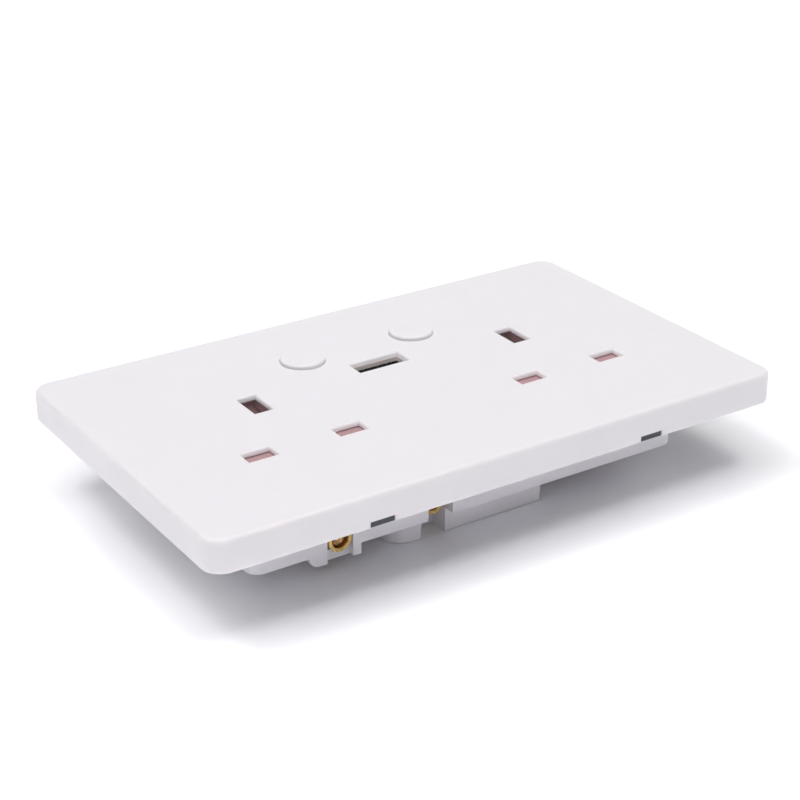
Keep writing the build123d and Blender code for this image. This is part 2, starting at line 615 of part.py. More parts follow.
clips_of_strap = {
    "neutral_strap_left": [SOCKETS["left"] + LIVE_DX],
    "neutral_strap_right": [SOCKETS["right"] + LIVE_DX],
    "line_strap": [],
    "line_contact_left": [SOCKETS["left"] - LIVE_DX],
    "line_contact_right": [SOCKETS["right"] - LIVE_DX],
    "earth_strap": list(SOCKETS.values()),
}
for node, spans in strip_runs(0).items():
    with BuildPart() as strap:
        with BuildSketch(Plane.XY.offset(REAR_TOP_Z)):
            for corners in spans:
                span(*corners)
        extrude(amount=STRIP_T)
        for x in clips_of_strap[node]:
            if node == "earth_strap":
                with BuildSketch(Plane.XZ.offset(-EARTH_Y - CLIP_LENGTH / 2)):
                    clip_outline(x, earth_clip_z, earth_clip_top_z)
            else:
                with BuildSketch(Plane.YZ.offset(x - CLIP_LENGTH / 2)):
                    clip_outline(LIVE_ROW_Y, REAR_TOP_Z, clip_top_z)
            extrude(amount=CLIP_LENGTH)
    save(strap, node)

# Terminals: a brass tube that takes the wire, on a block that joins the strap
for node, (x, side, mouth_y, clamp_y) in TERMINALS.items():
    mouth = Plane((x, side * mouth_y, TERMINAL_AXIS_Z), z_dir=(0, side, 0))
    with BuildPart() as terminal:
        with BuildSketch(Plane.XY.offset(tube_z)):
            half = TERMINAL_BLOCK[0] / 2
            span(x - half, x + half, side * TERMINAL_BACK_Y, side * (TERMINAL_BACK_Y + TERMINAL_BLOCK[1]))
        extrude(amount=TERMINAL_BLOCK[2])
        with BuildSketch(mouth):
            Circle(TERMINAL_TUBE_R)
        extrude(amount=TERMINAL_BACK_Y - mouth_y)
        with BuildSketch(mouth):
            Circle(TERMINAL_BORE_R)
        extrude(amount=TERMINAL_BACK_Y + TERMINAL_END_WALL - mouth_y, mode=Mode.SUBTRACT)
        with BuildSketch(Plane((x, side * clamp_y, tube_z))):
            Circle(SCREW_R)
        extrude(amount=TERMINAL_TUBE_R, mode=Mode.SUBTRACT)
    save(terminal, f"{node}_terminal")

# Circuit board across the well, on the posts and straps
with BuildPart() as circuit_board:
    with BuildSketch(Plane.XY.offset(BOARD_Z)):
        span(-BOARD_WIDTH / 2, BOARD_WIDTH / 2, BOARD_BOTTOM_Y, BOARD_TOP_Y)
        with Locations(*board_screws_xy):
            Circle(SCREW_R + FIT, mode=Mode.SUBTRACT)
    extrude(amount=BOARD_T)
save(circuit_board, "circuit_board")

# USB receptacle: folded shell, insulator with its tongue, and four contacts
with BuildPart() as usb_shell:
    with BuildSketch(Plane.XY.offset(BOARD_TOP_Z)):
        with Locations((0, USB_Y)):
            Rectangle(*USB_SHELL)
            Rectangle(*[size - 2 * USB_SHELL_WALL for size in USB_SHELL], mode=Mode.SUBTRACT)
    extrude(amount=USB_HEIGHT)
save(usb_shell, "usb_shell")

tongue_y = USB_Y + USB_TONGUE_OFFSET
tongue_top_z = USB_TOP_Z - USB_TONGUE_SINK
with BuildPart() as usb_tongue:
    with BuildSketch(Plane.XY.offset(BOARD_TOP_Z)):
        with Locations((0, USB_Y)):
            wall = 2 * USB_SHELL_WALL + FIT
            Rectangle(USB_SHELL[0] - wall, USB_SHELL[1] - wall)
    extrude(amount=USB_INSULATOR_T)
    with BuildSketch(Plane.XY.offset(BOARD_TOP_Z)):
        with Locations((0, tongue_y)):
            Rectangle(*USB_TONGUE)
    extrude(amount=tongue_top_z - BOARD_TOP_Z)
    chamfer(usb_tongue.faces().sort_by(Axis.Z)[-1].edges(), USB_TONGUE_CHAMFER)
save(usb_tongue, "usb_tongue")

with BuildPart() as usb_contacts:
    contact_y = tongue_y + USB_TONGUE[1] / 2 + USB_CONTACT[1] / 2
    with BuildSketch(Plane.XY.offset(BOARD_TOP_Z + USB_INSULATOR_T)):
        with Locations((0, contact_y)):
            with GridLocations(USB_CONTACT_PITCH, 0, USB_CONTACT_COUNT, 1):
                Rectangle(*USB_CONTACT)
    extrude(amount=tongue_top_z - USB_TONGUE_SINK - BOARD_TOP_Z - USB_INSULATOR_T)
save(usb_contacts, "usb_contacts")

# Push switches on the board, and the plungers that the buttons push
for side, x in BUTTONS.items():
    switch_top_z = BOARD_TOP_Z + SWITCH_HEIGHT
    middle = Plane((x, BUTTON_Y, 0))
    with BuildPart() as switch:
        with BuildSketch(middle.offset(BOARD_TOP_Z)):
            Rectangle(SWITCH_SIZE, SWITCH_SIZE)
        extrude(amount=SWITCH_HEIGHT)
        chamfer(switch.edges().filter_by(Axis.Z), SWITCH_CHAMFER)
        socket_depth = SWITCH_PLUNGER_DEPTH + BUTTON_TRAVEL + LOOSE
        with BuildSketch(middle.offset(switch_top_z - socket_depth)):
            Circle(SWITCH_PLUNGER_R + SLIDE)
        extrude(amount=socket_depth, mode=Mode.SUBTRACT)
    save(switch, f"switch_{side}")

    with BuildPart() as plunger:
        with BuildSketch(middle.offset(switch_top_z - SWITCH_PLUNGER_DEPTH)):
            Circle(SWITCH_PLUNGER_R)
        extrude(amount=SWITCH_PLUNGER_HEIGHT + SWITCH_PLUNGER_DEPTH)
    save(plunger, f"switch_plunger_{side}")

# Relays that switch the two outlets
for side, sign in (("left", -1), ("right", 1)):
    with BuildPart() as relay:
        with BuildSketch(Plane((sign * RELAY_HALF_PITCH, RELAY_Y, BOARD_TOP_Z))):
            Rectangle(RELAY[0], RELAY[1])
        extrude(amount=RELAY[2])
        chamfer(relay.edges().filter_by(Axis.Z), RELAY_CHAMFER)
    save(relay, f"relay_{side}")

# Power supply and radio parts under the board
under_board = Plane((0, 0, BOARD_Z), x_dir=(1, 0, 0), z_dir=(0, 0, -1))
with BuildPart() as transformer:
    tx, ty = TRANSFORMER_XY
    with BuildSketch(under_board):
        with Locations((tx, -ty)):
            Rectangle(TRANSFORMER[0], TRANSFORMER[1])
    extrude(amount=TRANSFORMER[2])
    core_inset = (TRANSFORMER[2] - TRANSFORMER_CORE[2]) / 2
    with BuildSketch(under_board.offset(core_inset)):
        with Locations((tx, -ty)):
            Rectangle(TRANSFORMER_CORE[0], TRANSFORMER_CORE[1])
    extrude(amount=TRANSFORMER_CORE[2])
save(transformer, "transformer")

with BuildPart() as capacitor:
    cx, cy = CAPACITOR_XY
    with BuildSketch(Plane((cx, cy - CAPACITOR_LENGTH / 2, BOARD_Z - CAPACITOR_R), z_dir=(0, 1, 0))):
        Circle(CAPACITOR_R)
    extrude(amount=CAPACITOR_LENGTH)
    chamfer(capacitor.edges().filter_by(GeomType.CIRCLE), CAPACITOR_CHAMFER)
save(capacitor, "capacitor")

with BuildPart() as wireless_module:
    mx, my = MODULE_XY
    with BuildSketch(under_board):
        with Locations((mx, -my)):
            Rectangle(MODULE[0], MODULE[1])
    extrude(amount=MODULE[2])
    with BuildSketch(under_board.offset(MODULE[2])):
        with Locations((mx - (MODULE[0] - MODULE_CAN[0]) / 2 + LOOSE, -my)):
            Rectangle(MODULE_CAN[0], MODULE_CAN[1])
    extrude(amount=MODULE_CAN[2])
save(wireless_module, "wireless_module")


def screws(points, seat_z, up, grip):
    """Round-headed screws on one seat, slotted, with their shanks along Z."""
    with BuildPart() as group:
        head = Plane((0, 0, seat_z), x_dir=(1, 0, 0), z_dir=(0, 0, -up))
        places = [(x, -up * y) for x, y in points]
        with BuildSketch(head):
            with Locations(*places):
                Circle(SCREW_HEAD_R)
        extrude(amount=SCREW_HEAD_T)
        with BuildSketch(head):
            with Locations(*places):
                Circle(SCREW_R)
        extrude(amount=-grip)
        with BuildSketch(head.offset(SCREW_HEAD_T)):
            with Locations(*places):
                Rectangle(SCREW_SLOT_LENGTH, SCREW_SLOT)
                Rectangle(SCREW_SLOT, SCREW_SLOT_LENGTH)
        extrude(amount=-SCREW_HEAD_T / 2, mode=Mode.SUBTRACT)
    return group


save(screws(four(FRAME_SCREW_XY), FRAME_Z, 1, FRAME_T + BASE_FLANGE_T), "frame_screws")
save(screws(four(COVER_SCREW_XY), REAR_RIM_Z + SCREW_HEAD_T, 1, SCREW_GRIP), "cover_screws")
save(screws(board_screws_xy, BOARD_TOP_Z, -1, SCREW_GRIP), "board_screws")
bore_z = TERMINAL_AXIS_Z - TERMINAL_BORE_R
for node, (x, side, mouth_y, clamp_y) in TERMINALS.items():
    clamp = screws([(x, side * clamp_y)], CLAMP_SEAT_Z, 1, bore_z + CLAMP_TIP - CLAMP_SEAT_Z)
    save(clamp, f"{node}_terminal_screw")
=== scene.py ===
import json
import math

import bmesh
import bpy
from mathutils import Matrix, Quaternion, Vector
from mathutils.noise import fractal

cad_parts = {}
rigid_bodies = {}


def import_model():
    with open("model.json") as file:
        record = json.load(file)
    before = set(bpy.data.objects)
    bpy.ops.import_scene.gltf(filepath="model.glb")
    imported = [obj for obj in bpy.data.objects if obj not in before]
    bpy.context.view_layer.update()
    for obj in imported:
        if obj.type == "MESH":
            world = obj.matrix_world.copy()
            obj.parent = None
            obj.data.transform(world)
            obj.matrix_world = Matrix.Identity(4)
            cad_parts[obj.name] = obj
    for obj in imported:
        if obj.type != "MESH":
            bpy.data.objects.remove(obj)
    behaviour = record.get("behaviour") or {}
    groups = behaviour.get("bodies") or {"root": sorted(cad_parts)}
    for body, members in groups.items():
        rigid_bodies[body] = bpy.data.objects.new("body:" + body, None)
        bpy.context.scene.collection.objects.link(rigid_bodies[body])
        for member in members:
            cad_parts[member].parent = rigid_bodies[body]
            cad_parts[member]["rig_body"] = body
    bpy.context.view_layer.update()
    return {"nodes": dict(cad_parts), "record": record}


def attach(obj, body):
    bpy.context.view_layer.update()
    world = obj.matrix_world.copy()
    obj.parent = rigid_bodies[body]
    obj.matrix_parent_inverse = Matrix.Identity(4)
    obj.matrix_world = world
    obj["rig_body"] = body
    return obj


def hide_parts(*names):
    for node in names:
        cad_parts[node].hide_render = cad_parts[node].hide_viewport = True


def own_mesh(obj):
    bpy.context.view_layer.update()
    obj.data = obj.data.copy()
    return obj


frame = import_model()
nodes = frame["nodes"]
scene = bpy.context.scene
MM = 0.001

# Camera, read off the photo
CAMERA_AT = Vector((-211.006, -325.706, 204.377)) * MM
CAMERA_AIM = Vector((-2.08, -1.12, 22.73)) * MM
CAMERA_ROLL = math.radians(-0.403)
CAMERA_LENS = 84.35
SENSOR_WIDTH = 36.0
CLIP_START = 0.01

# Paper floor, in metres: each glow sets in between two distances from the middle
FLOOR_SIZE = 6.0
FLOOR_DROP = 0.02 * MM
PAPER_DARK = (0.93, 0.923, 0.95)
PAPER_PALE = (0.95, 0.943, 0.97)
PAPER_MARK_SIZE = 0.125
PAPER_GLOW = 0.22
PAPER_GLOW_REACH = (0.25, 0.55)
FAR_GLOW = 0.75
FAR_GLOW_REACH = (0.5, 1.6)

# Strength of the white room at the horizon and overhead
ROOM_LOW = 0.452
ROOM_HIGH = 0.2

# Lights over the part: place and size in metres, power in watts
LIGHTS = {
    "top_left": ((-0.4, 0.0, 1.15), 0.8, 2.5),
    "top_front": ((0.0, -0.4, 1.15), 0.8, 3.4),
    "top_back": ((0.0, 0.4, 1.15), 0.8, 5.6),
    "top_right": ((0.4, 0.0, 1.15), 0.8, 2.6),
}

# Lights that only lift the paper
PAPER_LIGHTS = {
    "paper_left": ((-0.8, 0.0, 0.95), 0.8, 4.0),
    "paper_top_left": ((-0.4, 0.0, 1.15), 0.8, 3.78),
    "paper_top_left_small": ((-0.5, 0.1, 1.1), 0.3, 2.16),
    "paper_top_front": ((0.0, -0.4, 1.15), 0.8, 2.13),
    "paper_top_front_small": ((0.0, -0.5, 1.1), 0.3, 2.94),
    "paper_left_front": ((-0.6, -0.6, 0.9), 0.8, 2.44),
    "paper_low_right": ((1.0, 0.0, 0.5), 0.5, 1.06),
    "paper_back": ((0.2, 0.9, 0.8), 0.5, 1.46),
}

# Marks in the materials
FLOW_SIZE = 14 * MM
GLOSS_SIZE = 3 * MM
GRAIN_SIZE = 0.2 * MM
GRAIN_DEPTH = 0.02 * MM
ROLL_STRETCH = (1.0, 12.0, 1.0)
SPANGLE_SIZE = 2.6 * MM
PIT_SIZE = 0.5 * MM
WEAVE_SIZE = 6 * MM
TAPE_SIZE = 9 * MM
TAPE_DEPTH = 0.05 * MM
FINE_MARK_SIZE = 1 * MM

# Light that passes through and lingers in the plastics, and the colour of a painted glow laid on some of
# them
SKIN_DEPTH = 1.2 * MM
SKIN_REACH = (1.0, 0.9, 0.85)
PAINTED_GLOW_COLOUR = (1.0, 0.95, 0.95, 1.0)

# Places on the cover
FACE_HEIGHT = 27.2 * MM
BUTTON_AT = ((-14.4 * MM, 21.4 * MM), (15.6 * MM, 21.4 * MM))
BUTTON_HOLE_R = 5.7 * MM
CAP_SHARE = 0.8
SLOT_FRONT_Y = -17.69 * MM
SLOT_FRONT_SLACK = 0.02 * MM
SLOT_LIP = 0.45 * MM
SLOT_LIP_FOOT = 25.9 * MM

# Painted light on the slot walls, a glow that brightens them though they are no lamp: its bounds on the
# cover, and the heights where it sets in and has set in
PAINTED_WALL_LIGHT = 0.18
PAINTED_WALL_LIGHT_COLOUR = (1.0, 0.97, 0.98, 1.0)
WALL_REACH_X = 60 * MM
WALL_REACH_Y = 30 * MM
WALL_FROM_FACE = (FACE_HEIGHT, 26.8 * MM)
WALL_FROM_FOOT = (25.3 * MM, 26.9 * MM)

# Softness of the edges, and the share of it that the cover's other edges have
PLATE_EDGE = 0.42 * MM
MOULDED_EDGE = 0.18 * MM
FINE_EDGE = 0.1 * MM
PORT_EDGE = 0.06 * MM
HIDDEN_SHARE = 0.12
BUTTON_HOLE_SHARE = 0.07
SHARP_ANGLE = math.radians(32)
FLAT_ANGLE = math.radians(0.6)
WELD_REACH = 0.002 * MM

# Collars in the port: material, length, width, wall, lower end and upper end
PORT_Y = 10.91 * MM
COLLAR_EDGE = 0.05 * MM
COLLARS = {
    # The lip's painted glow stands for the lit upper band of the port
    "port_lip": ("port_steel", 13.1 * MM, 4.94 * MM, 0.22 * MM, 25.2 * MM, 26.25 * MM),
    # The black lining is painted shade for the dark depth of the port
    "port_shade_lining": ("black_plastic", 12.3 * MM, 4.4 * MM, 0.2 * MM, 20.5 * MM, 24.95 * MM),
}

# Dark blocks behind the pry notches, painted shade for the deep shadow seen through them
NOTCH_AT = (-33.9 * MM, 36.3 * MM)
SHADE_BLOCK_Y = -42.75 * MM
SHADE_BLOCK_Z = 20.66 * MM
SHADE_BLOCK_SIZE = (5.9 * MM, 1.8 * MM, 1.2 * MM)
SHADE_BLOCK_EDGE = 0.08 * MM

# Wire saddles: half sizes in millimetres, lumps, and how far behind the terminal's mouth they sit
SADDLE_HALF = (1.9, 1.0, 1.9)
SADDLE_STEPS = 4
SADDLE_SETBACK = 1.3 * MM
LUMP_HEIGHT = 0.5
LUMP_COUNT = 4.2
LUMP_NOISE = (1.0, 2.0, 3)
MOUTH_SLACK = 0.05 * MM
MOUTH_SIDE = {"line": -1, "neutral": -1, "earth": 1}


# Small helpers for node trees
def feed(tree, node, socket, value):
    tree.links.new(value, node.inputs[socket])


def start_material(name):
    material = bpy.data.materials.new(name)
    material.use_nodes = True
    tree = material.node_tree
    coords = tree.nodes.new("ShaderNodeTexCoord").outputs["Object"]
    return material, tree, tree.nodes["Principled BSDF"], coords


def noise(tree, coords, size, detail=2.0, stretch=None):
    if stretch is not None:
        mapping = tree.nodes.new("ShaderNodeMapping")
        mapping.inputs["Scale"].default_value = stretch
        feed(tree, mapping, "Vector", coords)
        coords = mapping.outputs["Vector"]
    node = tree.nodes.new("ShaderNodeTexNoise")
    node.inputs["Scale"].default_value = 1 / size
    node.inputs["Detail"].default_value = detail
    feed(tree, node, "Vector", coords)
    return node.outputs["Fac"]


def wave(tree, coords, size, distortion):
    node = tree.nodes.new("ShaderNodeTexWave")
    node.inputs["Scale"].default_value = 1 / size
    node.inputs["Distortion"].default_value = distortion
    feed(tree, node, "Vector", coords)
    return node.outputs["Fac"]


def spread(tree, value, low, high, start=0.3, end=0.7):
    node = tree.nodes.new("ShaderNodeMapRange")
    node.inputs["From Min"].default_value = start
    node.inputs["From Max"].default_value = end
    node.inputs["To Min"].default_value = low
    node.inputs["To Max"].default_value = high
    feed(tree, node, "Value", value)
    return node.outputs["Result"]


def ramp(tree, value, low, high, start=0.3, end=0.7):
    node = tree.nodes.new("ShaderNodeValToRGB")
    node.color_ramp.elements[0].position = start
    node.color_ramp.elements[0].color = (*low, 1.0)
    node.color_ramp.elements[1].position = end
    node.color_ramp.elements[1].color = (*high, 1.0)
    feed(tree, node, "Fac", value)
    return node.outputs["Color"]


def bump(tree, shader, height, strength, depth=GRAIN_DEPTH):
    node = tree.nodes.new("ShaderNodeBump")
    node.inputs["Strength"].default_value = strength
    node.inputs["Distance"].default_value = depth
    feed(tree, node, "Height", height)
    feed(tree, shader, "Normal", node.outputs["Normal"])


def math_node(tree, kind, first, second=0.0):
    node = tree.nodes.new("ShaderNodeMath")
    node.operation = kind
    for socket, value in zip(node.inputs, (first, second)):
        if isinstance(value, float):
            socket.default_value = value
        else:
            tree.links.new(value, socket)
    return node.outputs["Value"]


def uneven_gloss(tree, shader, marks, rough, under, over):
    feed(tree, shader, "Roughness", spread(tree, marks, rough - under, rough + over))


def tint(colour, factor):
    return tuple(min(1.0, c * factor) for c in colour)


# A moulded plastic: faint flow marks, fine tool grain, uneven gloss and an optional painted glow
def plastic(name, colour, rough, vary=0.02, grain=0.06, glow=0.0, painted_glow=0.0):
    material, tree, shader, coords = start_material(name)
    flow = noise(tree, coords, FLOW_SIZE, detail=3.0)
    feed(tree, shader, "Base Color", ramp(tree, flow, tint(colour, 1 - vary), colour))
    gloss = noise(tree, coords, GLOSS_SIZE, detail=4.0)
    uneven_gloss(tree, shader, gloss, rough, under=0.03, over=0.04)
    bump(tree, shader, noise(tree, coords, GRAIN_SIZE), grain)
    # Painted glow: emission that brightens the plastic though it is no lamp
    shader.inputs["Emission Color"].default_value = PAINTED_GLOW_COLOUR
    shader.inputs["Emission Strength"].default_value = painted_glow
    shader.inputs["Subsurface Weight"].default_value = glow
    shader.inputs["Subsurface Radius"].default_value = SKIN_REACH
    shader.inputs["Subsurface Scale"].default_value = SKIN_DEPTH
    return material


# A metal: stretched rolling marks, stains in the colour and uneven gloss
def metal(name, colour, rough, dark=0.8, grain=0.08, mark_size=1.2 * MM, stain_size=4 * MM):
    material, tree, shader, coords = start_material(name)
    stain = noise(tree, coords, stain_size, detail=3.0)
    feed(tree, shader, "Base Color", ramp(tree, stain, tint(colour, dark), colour))
    marks = noise(tree, coords, mark_size, detail=4.0, stretch=ROLL_STRETCH)
    uneven_gloss(tree, shader, marks, rough, under=0.06, over=0.08)
    bump(tree, shader, marks, grain)
    shader.inputs["Metallic"].default_value = 1.0
    return material


# A dull metal with a painted glow: emission that brightens it inside its recess, though it is no lamp
def metal_with_painted_glow(material, colour, strength):
    shader = material.node_tree.nodes["Principled BSDF"]
    shader.inputs["Metallic"].default_value = 0.6
    shader.inputs["Emission Color"].default_value = (*colour, 1.0)
    shader.inputs["Emission Strength"].default_value = strength
    return material


# Zinc plate with its crystal spangle
def zinc(name, colour, rough):
    material, tree, shader, coords = start_material(name)
    cells = tree.nodes.new("ShaderNodeTexVoronoi")
    cells.inputs["Scale"].default_value = 1 / SPANGLE_SIZE
    feed(tree, cells, "Vector", coords)
    spangle = cells.outputs["Color"]
    feed(tree, shader, "Base Color", ramp(tree, spangle, tint(colour, 0.78), tint(colour, 1.08)))
    uneven_gloss(tree, shader, spangle, rough, under=0.08, over=0.08)
    bump(tree, shader, noise(tree, coords, PIT_SIZE, detail=3.0), strength=0.08)
    shader.inputs["Metallic"].default_value = 1.0
    return material


# Board laminate: solder mask with a weave showing through
def laminate(name, colour, rough):
    material, tree, shader, coords = start_material(name)
    weave = wave(tree, coords, WEAVE_SIZE, distortion=1.5)
    feed(tree, shader, "Base Color", ramp(tree, weave, tint(colour, 0.8), colour))
    uneven_gloss(tree, shader, noise(tree, coords, FINE_MARK_SIZE), rough, under=0.05, over=0.1)
    bump(tree, shader, weave, strength=0.05)
    return material


# Taped winding: bands of tape round a dark core
def winding(name, colour, rough):
    material, tree, shader, coords = start_material(name)
    bands = wave(tree, coords, TAPE_SIZE, distortion=0.6)
    feed(tree, shader, "Base Color", ramp(tree, bands, tint(colour, 0.5), colour, start=0.2, end=0.8))
    uneven_gloss(tree, shader, noise(tree, coords, FINE_MARK_SIZE), rough, under=0.1, over=0.1)
    bump(tree, shader, bands, strength=0.2, depth=TAPE_DEPTH)
    return material


# Painted light: the cover's slot walls below the face glow, so they are pale
def paint_slot_wall_light(material):
    tree = material.node_tree
    shader = tree.nodes["Principled BSDF"]
    split = tree.nodes.new("ShaderNodeSeparateXYZ")
    feed(tree, split, "Vector", tree.nodes["Texture Coordinate"].outputs["Object"])
    x, y, z = split.outputs
    near_x = math_node(tree, "LESS_THAN", math_node(tree, "ABSOLUTE", x), WALL_REACH_X)
    near_y = math_node(tree, "LESS_THAN", math_node(tree, "ABSOLUTE", y), WALL_REACH_Y)
    inside = math_node(tree, "MULTIPLY", near_x, near_y)
    below_face = spread(tree, z, 0.0, 1.0, *WALL_FROM_FACE)
    above_foot = spread(tree, z, 0.0, 1.0, *WALL_FROM_FOOT)
    depth = math_node(tree, "MULTIPLY", below_face, above_foot)
    lit = math_node(tree, "MULTIPLY", inside, depth)
    feed(tree, shader, "Emission Strength", math_node(tree, "MULTIPLY", lit, PAINTED_WALL_LIGHT))
    shader.inputs["Emission Color"].default_value = PAINTED_WALL_LIGHT_COLOUR
    return material


MATERIALS = {
    # The white cover plastic carries the painted light on its slot walls
    "white_plastic": paint_slot_wall_light(
        plastic("white_plastic", (0.80, 0.78, 0.808), 0.42, vary=0.012, grain=0.035, glow=0.7)),
    "housing_plastic": plastic("housing_plastic", (0.82, 0.80, 0.84), 0.55, vary=0.03, grain=0.10),
    # Near-black navy, painted shade for the dark seen through the pry notches
    "base_plastic": plastic("base_plastic", (0.045, 0.046, 0.062), 0.5, vary=0.2, grain=0.10),
    # The shutters get a faint painted glow
    "shutter_plastic": plastic("shutter_plastic", (0.42, 0.24, 0.25), 0.5, vary=0.10, grain=0.08, painted_glow=0.02),
    "black_plastic": plastic("black_plastic", (0.02, 0.02, 0.023), 0.45, vary=0.3, grain=0.12),
    "relay_case": plastic("relay_case", (0.04, 0.05, 0.07), 0.4, vary=0.2, grain=0.1),
    "can_sleeve": plastic("can_sleeve", (0.04, 0.05, 0.10), 0.3, vary=0.2, grain=0.04),
    "zinc_steel": zinc("zinc_steel", (0.60, 0.62, 0.65), 0.38),
    "spring_steel": metal("spring_steel", (0.62, 0.62, 0.63), 0.3),
    "usb_steel": metal("usb_steel", (0.74, 0.72, 0.70), 0.25, grain=0.04, mark_size=0.8 * MM),
    "brass": metal("brass", (0.83, 0.58, 0.22), 0.28, dark=0.72),
    # The saddle brass has a painted glow inside the terminal mouths
    "worn_brass": metal_with_painted_glow(
        metal("worn_brass", (0.95, 0.6, 0.3), 0.3, dark=0.15, mark_size=0.5 * MM, stain_size=0.7 * MM),
        (0.3, 0.14, 0.06), 0.2),
    # The port steel has a painted glow, lighting the port's lip
    "port_steel": metal_with_painted_glow(metal("port_steel", (0.62, 0.57, 0.56), 0.4), (0.5, 0.45, 0.44), 0.32),
    "shield_can": metal("shield_can", (0.7, 0.7, 0.7), 0.32),
    "board_laminate": laminate("board_laminate", (0.03, 0.2, 0.1), 0.4),
    "winding": winding("winding", (0.75, 0.58, 0.12), 0.45),
}
FINISH = {row["node"]: row["material_slot"] for row in frame["record"]["subparts"]}
for node_name, node_object in nodes.items():
    node_object.data.materials.clear()
    node_object.data.materials.append(MATERIALS[FINISH[node_name]])


# Small helpers for pieces
def add_object(name, data):
    thing = bpy.data.objects.new(name, data)
    scene.collection.objects.link(thing)
    return thing


def write_smooth(shape, mesh):
    for face in shape.faces:
        face.smooth = True
    shape.to_mesh(mesh)
    shape.free()


def soften(piece, edge, steps=2):
    bevel = piece.modifiers.new("soften", "BEVEL")
    bevel.width = edge
    bevel.segments = steps
    bevel.harden_normals = True
    return bevel


# A welded copy with soft edges stands for a solid: trim moves its corners, share says how soft a line is
def dress(node, edge=MOULDED_EDGE, steps=2, share=None, trim=None):
    mesh = nodes[node].data.copy()
    shape = bmesh.new()
    shape.from_mesh(mesh)
    bmesh.ops.remove_doubles(shape, verts=shape.verts, dist=WELD_REACH)
    if trim is not None:
        trim(shape)
    bmesh.ops.dissolve_limit(shape, angle_limit=FLAT_ANGLE, verts=shape.verts, edges=shape.edges)
    bmesh.ops.recalc_face_normals(shape, faces=shape.faces)
    weight = shape.edges.layers.float.new("bevel_weight_edge")
    for line in shape.edges:
        if len(line.link_faces) == 2 and line.calc_face_angle() > SHARP_ANGLE:
            line[weight] = 1.0 if share is None else share(line)
    write_smooth(shape, mesh)
    piece = add_object(node + "_look", mesh)
    soften(piece, edge, steps).limit_method = "WEIGHT"
    piece.modifiers.new("even", "WEIGHTED_NORMAL").keep_sharp = True
    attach(piece, nodes[node]["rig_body"])
    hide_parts(node)


# The cover's slot mouths are soft; the button holes and the hidden edges are sharp
def cover_share(line):
    middle = (line.verts[0].co + line.verts[1].co) / 2
    if middle.z < FACE_HEIGHT:
        return HIDDEN_SHARE
    near_button = any((middle.xy - Vector(at)).length < BUTTON_HOLE_R for at in BUTTON_AT)
    return BUTTON_HOLE_SHARE if near_button else 1.0


# The pin slots' near lips reach in a little
def cover_trim(shape):
    for corner in shape.verts:
        if abs(corner.co.y - SLOT_FRONT_Y) < SLOT_FRONT_SLACK and corner.co.z > SLOT_LIP_FOOT:
            corner.co.y += SLOT_LIP


# The caps stand a little lower than their solids
def cap_trim(shape):
    for corner in shape.verts:
        if corner.co.z > FACE_HEIGHT:
            corner.co.z = FACE_HEIGHT + (corner.co.z - FACE_HEIGHT) * CAP_SHARE


dress("cover_plate", PLATE_EDGE, 3, cover_share, cover_trim)
for node in ("base_housing", "rear_cover"):
    dress(node, MOULDED_EDGE)
for node in ("button_left", "button_right"):
    dress(node, MOULDED_EDGE, trim=cap_trim)
for node in ("shutter_left", "shutter_right", "mounting_frame"):
    dress(node, FINE_EDGE)
for pole in MOUTH_SIDE:
    dress(pole + "_terminal", FINE_EDGE)
    dress(pole + "_terminal_screw", FINE_EDGE)
for node in ("usb_shell", "usb_tongue"):
    dress(node, PORT_EDGE)


# Each shutter spring is stood in for by a copy of its own mesh, riding the spring's body
def spring(side):
    node = "shutter_spring_" + side
    mesh = nodes[node].data.copy()
    piece = add_object(node + "_look", mesh)
    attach(piece, nodes[node]["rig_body"])
    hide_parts(node)
    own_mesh(piece)


for side in ("left", "right"):
    spring(side)


# A piece that only the scene has: it rides the socket, with or without soft edges
def add_piece(name, shape, slot, edge=None):
    mesh = bpy.data.meshes.new(name)
    bmesh.ops.recalc_face_normals(shape, faces=shape.faces)
    write_smooth(shape, mesh)
    mesh.materials.append(MATERIALS[slot])
    piece = add_object(name, mesh)
    if edge is not None:
        soften(piece, edge)
    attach(piece, nodes["cover_plate"]["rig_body"])


# A ring of four walls, open above and below
def collar(name, slot, length, width, wall, low, high):
    shape = bmesh.new()
    rings = []
    for inset, z in ((0, low), (0, high), (wall, high), (wall, low)):
        x = length / 2 - inset
        y = width / 2 - inset
        corners = ((-x, -y), (x, -y), (x, y), (-x, y))
        rings.append([shape.verts.new((across, PORT_Y + along, z)) for across, along in corners])
    for first, second in zip(rings, rings[1:] + rings[:1]):
        for i in range(4):
            after = (i + 1) % 4
            shape.faces.new((first[i], first[after], second[after], second[i]))
    add_piece(name, shape, slot, COLLAR_EDGE)


# The port's rolled metal lip, lit by its painted glow, and the black lining below it, painted shade for the
# port's dark depth
for name, sizes in COLLARS.items():
    collar(name, *sizes)


# Dark blocks behind the pry notches: painted shade standing in for the deep shadow seen through them
def notch_shade_block(number, x):
    place = Matrix.Translation((x, SHADE_BLOCK_Y, SHADE_BLOCK_Z)) @ Matrix.Diagonal((*SHADE_BLOCK_SIZE, 1.0))
    shape = bmesh.new()
    bmesh.ops.create_cube(shape, size=1.0, matrix=place)
    add_piece(f"notch_shade_block_{number}", shape, "base_plastic", SHADE_BLOCK_EDGE)


for number, x in enumerate(NOTCH_AT):
    notch_shade_block(number, x)


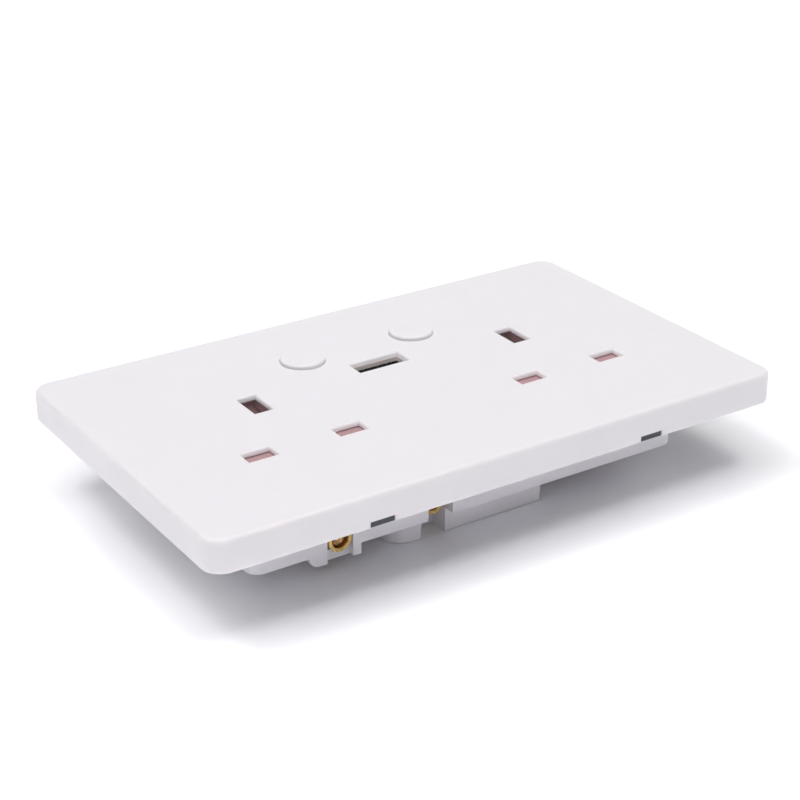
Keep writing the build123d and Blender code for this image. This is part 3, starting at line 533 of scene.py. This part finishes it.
# The wire saddle in each terminal's mouth: a lump of worn brass with a painted glow
def saddle(pole, side):
    corners = [corner.co for corner in nodes[pole + "_terminal"].data.vertices]
    mouth = side * max(side * corner.y for corner in corners)
    tube = [corner for corner in corners if abs(corner.y - mouth) < MOUTH_SLACK]
    middle_x = (min(corner.x for corner in tube) + max(corner.x for corner in tube)) / 2
    middle_z = (min(corner.z for corner in tube) + max(corner.z for corner in tube)) / 2
    shape = bmesh.new()
    bmesh.ops.create_icosphere(shape, subdivisions=SADDLE_STEPS, radius=1.0)
    for corner in shape.verts:
        lump = 1.0 - LUMP_HEIGHT * abs(fractal(corner.co * LUMP_COUNT, *LUMP_NOISE))
        stretched = Vector([part * half for part, half in zip(corner.co, SADDLE_HALF)])
        corner.co = stretched * lump * MM
        corner.co += Vector((middle_x, mouth - side * SADDLE_SETBACK, middle_z))
    add_piece(pole + "_saddle", shape, "worn_brass")


for pole, side in MOUTH_SIDE.items():
    saddle(pole, side)


# Floor
def pale_floor():
    bpy.ops.mesh.primitive_plane_add(size=FLOOR_SIZE, location=(0, 0, -FLOOR_DROP))
    floor = bpy.context.object
    floor.name = "floor"
    material, tree, shader, coords = start_material("floor_paper")
    marks = noise(tree, coords, PAPER_MARK_SIZE)
    feed(tree, shader, "Base Color", ramp(tree, marks, PAPER_DARK, PAPER_PALE))
    shader.inputs["Roughness"].default_value = 0.9
    shader.inputs["Specular IOR Level"].default_value = 0.0
    reach = tree.nodes.new("ShaderNodeVectorMath")
    reach.operation = "LENGTH"
    tree.links.new(coords, reach.inputs[0])
    near = spread(tree, reach.outputs["Value"], 0.0, PAPER_GLOW, *PAPER_GLOW_REACH)
    far = spread(tree, reach.outputs["Value"], 0.0, FAR_GLOW, *FAR_GLOW_REACH)
    feed(tree, shader, "Emission Strength", math_node(tree, "ADD", near, far))
    shader.inputs["Emission Color"].default_value = (1.0, 1.0, 1.0, 1.0)
    floor.data.materials.append(material)
    return floor


# Lights: a soft white room, wide lights over the part, and some that only lift the paper
def area_light(name, at, size, power):
    lamp = bpy.data.lights.new(name, "AREA")
    lamp.shape = "DISK"
    lamp.size = size
    lamp.energy = power
    holder = add_object(name, lamp)
    holder.location = Vector(at)
    holder.rotation_euler = (-Vector(at)).to_track_quat("-Z", "Y").to_euler()
    return holder


def white_room(low, high):
    room = bpy.data.worlds.new("room")
    scene.world = room
    room.use_nodes = True
    tree = room.node_tree
    background = tree.nodes["Background"]
    background.inputs["Color"].default_value = (1.0, 1.0, 1.0, 1.0)
    split = tree.nodes.new("ShaderNodeSeparateXYZ")
    feed(tree, split, "Vector", tree.nodes.new("ShaderNodeTexCoord").outputs["Generated"])
    feed(tree, background, "Strength", spread(tree, split.outputs["Z"], low, high, 0.0, 1.0))


floor = pale_floor()
white_room(ROOM_LOW, ROOM_HIGH)
paper_only = bpy.data.collections.new("paper_only")
paper_only.objects.link(floor)
part_only = bpy.data.collections.new("part_only")
part_only.objects.link(floor)
part_only.collection_objects[0].light_linking.link_state = "EXCLUDE"
for name, setting in LIGHTS.items():
    area_light(name, *setting).light_linking.receiver_collection = part_only
for name, setting in PAPER_LIGHTS.items():
    area_light(name, *setting).light_linking.receiver_collection = paper_only

# Camera
camera = add_object("camera", bpy.data.cameras.new("camera"))
camera.data.lens = CAMERA_LENS
camera.data.sensor_width = SENSOR_WIDTH
camera.data.clip_start = CLIP_START
facing = (CAMERA_AIM - CAMERA_AT).to_track_quat("-Z", "Y") @ Quaternion((0, 0, 1), CAMERA_ROLL)
camera.matrix_world = Matrix.Translation(CAMERA_AT) @ facing.to_matrix().to_4x4()
scene.camera = camera
scene.view_settings.view_transform = "Standard"
